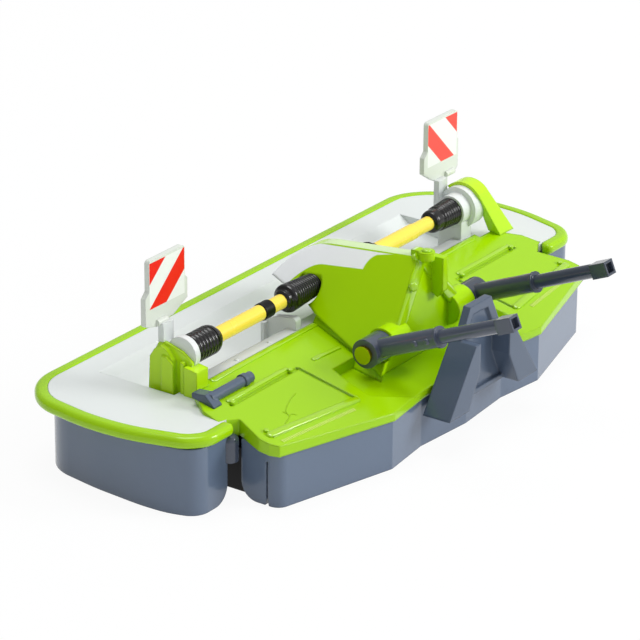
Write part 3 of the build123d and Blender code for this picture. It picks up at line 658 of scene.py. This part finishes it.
def button(centre, axis, radius, height, rounding):
    # a low round button: a point is centre + rise * axis + radius * (cos, sin) across the axis, and
    # rise and radius follow a quarter circle round the rim
    axis = np.array(axis, float) / np.linalg.norm(axis)
    upright = abs(axis[2]) >= 0.9  # then straight up is too near the axis to turn aside from
    aside = np.cross(axis, (1, 0, 0) if upright else (0, 0, 1))
    aside /= np.linalg.norm(aside)
    across = np.cross(axis, aside)
    turn = np.linspace(0, 2 * np.pi, fine["buttonColumns"], endpoint=False)
    corner = np.linspace(0, np.pi / 2, fine["roundPoints"])
    rise = np.concatenate([[0.0], height - rounding + rounding * np.sin(corner)])
    radii = np.concatenate([[radius], radius - rounding + rounding * np.cos(corner)])
    spokes = np.cos(turn)[:, None] * aside + np.sin(turn)[:, None] * across
    return closedGrid(np.array(centre) + rise[:, None, None] * axis + radii[:, None, None] * spokes)


def bead(path, across, up, half):
    # a moulded bead along path: its section is (cos ** squareness, sin ** squareness), signs kept,
    # times its half sizes, and each end is drawn in by cos while it runs out by sin
    path, across, up = (np.array(a, float) for a in (path, across, up))
    turn = np.linspace(0, 2 * np.pi, fine["beadColumns"], endpoint=False)
    flat, tall = (half[i] * np.sign(wave) * np.abs(wave) ** fine["squareness"]
                  for i, wave in enumerate((np.cos(turn), np.sin(turn))))
    section = flat[:, None] * across + tall[:, None] * up
    line, along, share = carried(path, fine["roundPoints"], half[0])
    return closedGrid(line[:, None, :] + section * share[:, None, None])


deckRise = (10.9, 0.2)  # the deck's height at the rear skirt's line, mm, and its slope
deckUp = np.array([0.0, -deckRise[1], 1.0]) / math.hypot(deckRise[1], 1.0)


def onDeck(points, above=0.0):
    # plan points set on the deck's slope
    points = np.array(points, float)
    return np.column_stack([points, deckRise[0] + deckRise[1] * points[:, 1] + above])


def deckBead(plan, half):
    # a bead that lies on the deck: up is square to the slope, across is up x the bead's direction
    path = onDeck(plan)
    along = path[-1] - path[0]
    along /= np.linalg.norm(along)
    return bead(path, np.cross(deckUp, along), deckUp, half)


# small mouldings, mm, Y from the rear skirt and Z from the floor. A button is its place, its axis,
# its radius, its height and the rounding of its rim; a bead has its half width and half height
mouldings = {
    "deckBeads": [
        (((-41.9, 2.35), (-22.9, -0.1)), (0.68, 0.42)),
        (((-36.2, 17.5), (-9.4, 17.5)), (0.50, 0.22)),
        (((-18.2, 11.3), (-12.0, 10.9)), (0.42, 0.26)),
        (((-39.2, 12.3), (-24.2, 12.3)), (0.42, 0.26)),
    ],
    "deckKnobs": [(-24.2, 11.6), (-39.2, 11.6), (-41.6, 3.4)],
    "deckKnobSink": 0.02,
    "deckKnob": (0.42, 0.45, 0.12),
    "rivets": [-27.5, -18.9],       # on the ledge behind the trough
    "rivetLine": (19.5, 14.15),
    "rivet": (0.36, 0.20, 0.1),
    "mark": [(-28.96, 7.05), (-30.8, 6.57), (-32.67, 5.88), (-34.34, 5.04), (-34.62, 4.55),
             (-35.19, 3.57), (-37.33, 2.9)],
    "markCurl": [(-34.9, 5.1), (-34.8, 4.5), (-35.1, 3.8), (-34.2, 3.9), (-33.9, 3.3)],
    "markHalf": (0.11, 0.06),
    "rimLine": [(0.25, 3.7, 26.3), (-8.75, 2.22, 15.8)],
    "rimHalf": (1.5, 0.62),
    "rimBoss": ((-3.9, 2.4, 22.9), (-0.45, -0.85, 0.2), 0.75, 0.55, 0.3),
    "lugPlug": ((-0.2, 2.4, 26.6), (0, 0, 1), 0.74, 1.55, 0.25),
    "barrel": ((-44.2, 8.4, 6.5), (0, 0, 1), 1.5, 4.2, 0.9),
    "strutKnobs": [9.6, 12.0],      # from the pin, along the strut
    "strutPin": (13.7, 3.1, 15.4),
    "strutTurn": 23.2,              # degrees up from the level
    "strutHalf": 1.4,               # from the strut's middle to its outer side
    "strutKnob": (0.55, 0.50, 0.3),
}


def makeMouldings(spec):
    left = [deckBead(plan, half) for plan, half in spec["deckBeads"]]
    for place in onDeck(spec["deckKnobs"], -spec["deckKnobSink"]):
        left.append(button(place, deckUp, *spec["deckKnob"]))
    addParts("deck_beads", left + mirrored(left), "green_paint", "green_gloss")
    marks = [deckBead(spec[key], spec["markHalf"]) for key in ("mark", "markCurl")]
    addParts("deck_mark", marks, "green_paint")
    rivets = [button((x, *spec["rivetLine"]), (0, 0, 1), *spec["rivet"]) for x in spec["rivets"]]
    addParts("ledge_rivets", rivets + mirrored(rivets), "pale_plastic")
    rim = [bead(spec["rimLine"], (1, 0, 0), (0, 1, 0), spec["rimHalf"])]
    addParts("hood_rims", rim + mirrored(rim) + [button(*spec["rimBoss"])], "green_paint",
             "green_gloss")
    addParts("lug_plug", [button(*spec["lugPlug"])], "green_paint", "green_gloss")
    barrel = [button(*spec["barrel"])]
    addParts("corner_barrels", barrel + mirrored(barrel), "slate_plastic", "dark_slate")
    pinX, pinY, pinZ = spec["strutPin"]
    turn = math.radians(spec["strutTurn"])
    for word, side in (("left", -1), ("right", 1)):
        x = side * (pinX + spec["strutHalf"])
        knobs = [button((x, pinY - s * math.cos(turn), pinZ + s * math.sin(turn)), (side, 0, 0),
                        *spec["strutKnob"]) for s in spec["strutKnobs"]]
        # the right knobs take the right strut's darker finish, painted shade
        addParts("strut_knobs_" + word, knobs, "slate_plastic", ownFinish["strut_" + word],
                 body="strut_" + word)


makeMouldings(mouldings)


# a strip of fine cross ribs along each side of the deck's rear edge, mm
strip = {
    "from": (41.9, 0.15),
    "to": (25.2, -1.55),
    "count": 40,
    "size": (0.26, 0.62, 0.10),  # along the strip, across it, and up from the deck
    "sink": 0.1,
    "sharp": 20,
}


def makeStrip(spec):
    # each rib is a block: its corners are half its size along and across from its middle
    start, end = np.array(spec["from"]), np.array(spec["to"])
    along = (end - start) / np.linalg.norm(end - start)
    share = (np.arange(spec["count"]) + 0.5) / spec["count"]
    middles = start + share[:, None] * (end - start)
    aside = np.array([-along[1], along[0]])
    corners = np.array([(-1, -1), (1, -1), (1, 1), (-1, 1)]) / 2
    long, wide, tall = spec["size"]
    plan = middles[:, None, :] + corners[:, :1] * long * along + corners[:, 1:] * wide * aside
    plan = plan.reshape(-1, 2)
    points = np.concatenate([onDeck(plan, -spec["sink"]), onDeck(plan, tall)])
    bottom = np.arange(len(plan)).reshape(-1, 4)
    top = bottom + len(plan)
    walls = [np.stack([bottom[:, i], bottom[:, (i + 1) % 4], top[:, (i + 1) % 4], top[:, i]], axis=-1)
             for i in range(4)]
    ribs = [(points, np.concatenate([bottom[:, ::-1], top] + walls).tolist())]
    # the ribs take the paler green: a painted highlight
    addParts("deck_rib_strips", ribs + mirrored(ribs), "green_paint", "green_ribs_painted_highlight",
             sharp=spec["sharp"])


makeStrip(strip)
print("mouldings made")


studio = {
    "floorSize": 6.0,
    "floor": (238, 239, 240),
    "floorRough": 0.9,
    "floorSpecular": 0.1,
    "floorGlow": 0.93,             # the share of plain white that the camera sees
    "world": (0.45, 0.32, 0.1),    # strength, how much more towards the bright side, and the least
    "bright": (0.50, -0.62, 0.60),
    "lamps": [  # name, place from the middle in m, size, watts
        ("key", (0.42, -0.66, 0.42), 0.34, 4.2),
        ("top", (0.05, 0.10, 0.90), 0.50, 3.4),
    ],
}
plainWhite = (1, 1, 1, 1)


def makeFloor(spec):
    half = spec["floorSize"] / 2
    corners = [(-half, -half, 0), (half, -half, 0), (half, half, 0), (-half, half, 0)]
    mesh = bpy.data.meshes.new("floor")
    mesh.from_pydata(corners, [], [(0, 1, 2, 3)])
    floor = bpy.data.objects.new("floor", mesh)
    bpy.context.scene.collection.objects.link(floor)
    made = Material("floor")
    made.set(colour=colourOf(*spec["floor"]), roughness=spec["floorRough"],
             specular=spec["floorSpecular"])
    seen = eitherRay(made.tree, "Is Camera Ray", "Is Glossy Ray")
    glow = made.add("Emission", {}, {"Color": plainWhite, "Strength": 1.0})
    cover = made.add("MixShader", {}, {0: seen * spec["floorGlow"], 1: made.shader.outputs[0],
                                       2: glow.outputs[0]})
    made.tree.links.new(cover.outputs[0], made.tree.nodes["Material Output"].inputs["Surface"])
    mesh.materials.append(made.data)


def makeLamp(name, place, size, watts):
    data = bpy.data.lights.new(name, "AREA")
    data.shape, data.size, data.energy = "DISK", size, watts
    lamp = bpy.data.objects.new(name, data)
    bpy.context.scene.collection.objects.link(lamp)
    lamp.location = place
    lamp.rotation_mode = "QUATERNION"
    lamp.rotation_quaternion = (-Vector(place)).to_track_quat("-Z", "Y")


def makeWorld(spec):
    world = bpy.data.worlds.new("studio")
    bpy.context.scene.world = world
    world.use_nodes = True
    tree = world.node_tree
    light = tree.nodes["Background"]
    light.inputs["Color"].default_value = plainWhite
    # strength + more * (direction . bright side), never under the least
    strength, more, least = spec["world"]
    axes = axesOf(tree, addNode(tree, "TexCoord", {}, {}).outputs["Generated"])
    towards = sum(axis * share for axis, share in zip(axes, spec["bright"]))
    feed(tree, light.inputs["Strength"], (towards * more + strength).most(least))
    seen = eitherRay(tree, "Is Camera Ray", "Is Transmission Ray")
    white = addNode(tree, "Background", {}, {"Color": plainWhite, "Strength": 1.0})
    both = addNode(tree, "MixShader", {}, {0: seen, 1: light.outputs[0], 2: white.outputs[0]})
    tree.links.new(both.outputs[0], tree.nodes["World Output"].inputs["Surface"])


makeFloor(studio)
makeWorld(studio)
for lamp in studio["lamps"]:
    makeLamp(*lamp)
bpy.context.scene.view_settings.view_transform = "Standard"
print("studio lit")
